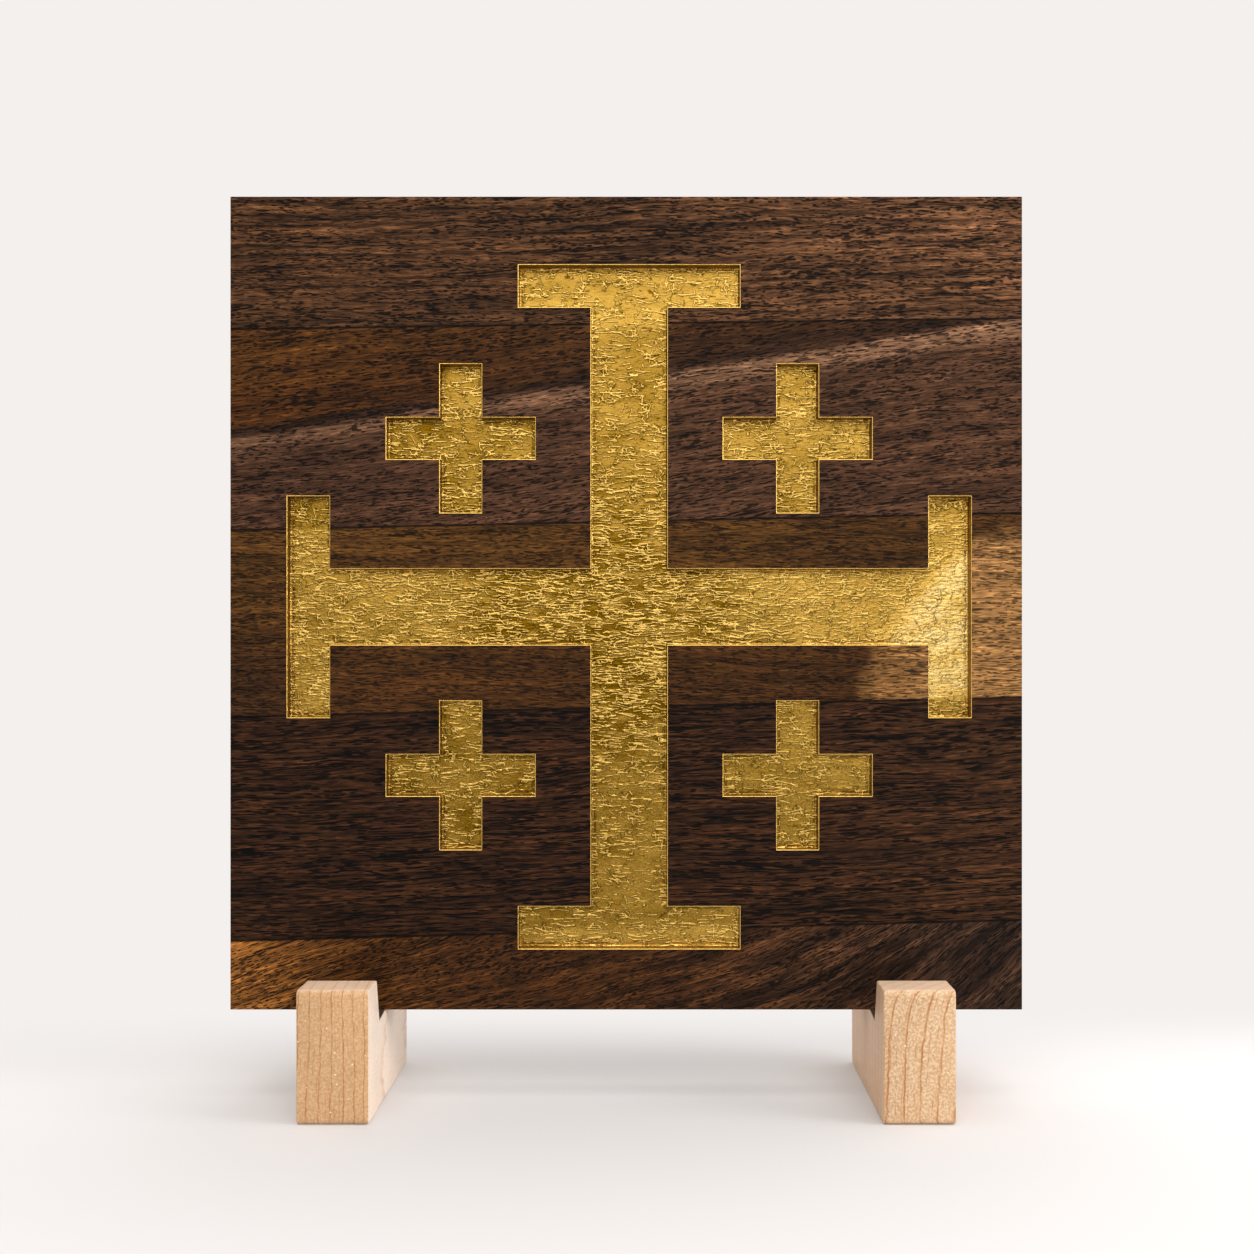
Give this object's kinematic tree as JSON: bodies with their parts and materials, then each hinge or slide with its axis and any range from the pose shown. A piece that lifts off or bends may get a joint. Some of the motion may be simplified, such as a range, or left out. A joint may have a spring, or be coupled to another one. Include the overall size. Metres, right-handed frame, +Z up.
{
  "type": "altar cross",
  "caption": "Upright walnut panel with a gilded Jerusalem cross let into its face, standing in slotted maple block feet.",
  "frame": {"origin": "on the surface that the feet stand on, midway along the panel and midway between the front and the back of the feet", "axes": "+Z up along the panel's height, -Y out of the gilded face towards the viewer, +X to the viewer's right along the panel"},
  "size_m": [0.297, 0.078, 0.3378],
  "materials": {
    "walnut_purple": "oiled, open pores, satin",
    "walnut_streaked": "oiled, open pores, satin",
    "walnut_sapwood": "oiled, open pores, satin",
    "walnut_chocolate": "oiled, open pores, satin",
    "walnut_figured": "oiled, open pores, satin",
    "gold_leaf": "gold leaf over raised grain, bright",
    "maple": "sanded, clear satin"
  },
  "bodies": {
    "left_foot": {"left_foot": "maple"},
    "panel": {"stave_1": "walnut_purple", "stave_2": "walnut_streaked", "stave_3": "walnut_sapwood", "stave_4": "walnut_chocolate", "stave_5": "walnut_figured", "gilding_main_cross": "gold_leaf", "gilding_upper_left_cross": "gold_leaf", "gilding_upper_right_cross": "gold_leaf", "gilding_lower_left_cross": "gold_leaf", "gilding_lower_right_cross": "gold_leaf"},
    "right_foot": {"right_foot": "maple"}
  },
  "joints": [
    {"name": "panel_lift", "type": "slide", "parent": "left_foot", "child": "panel", "axis": [0, 0, 1], "range_m": [0, 0.06]},
    {"name": "right_foot_slide", "type": "slide", "parent": "left_foot", "child": "right_foot", "axis": [1, 0, 0], "range_m": [-0.06, 0.03]}
  ]
}
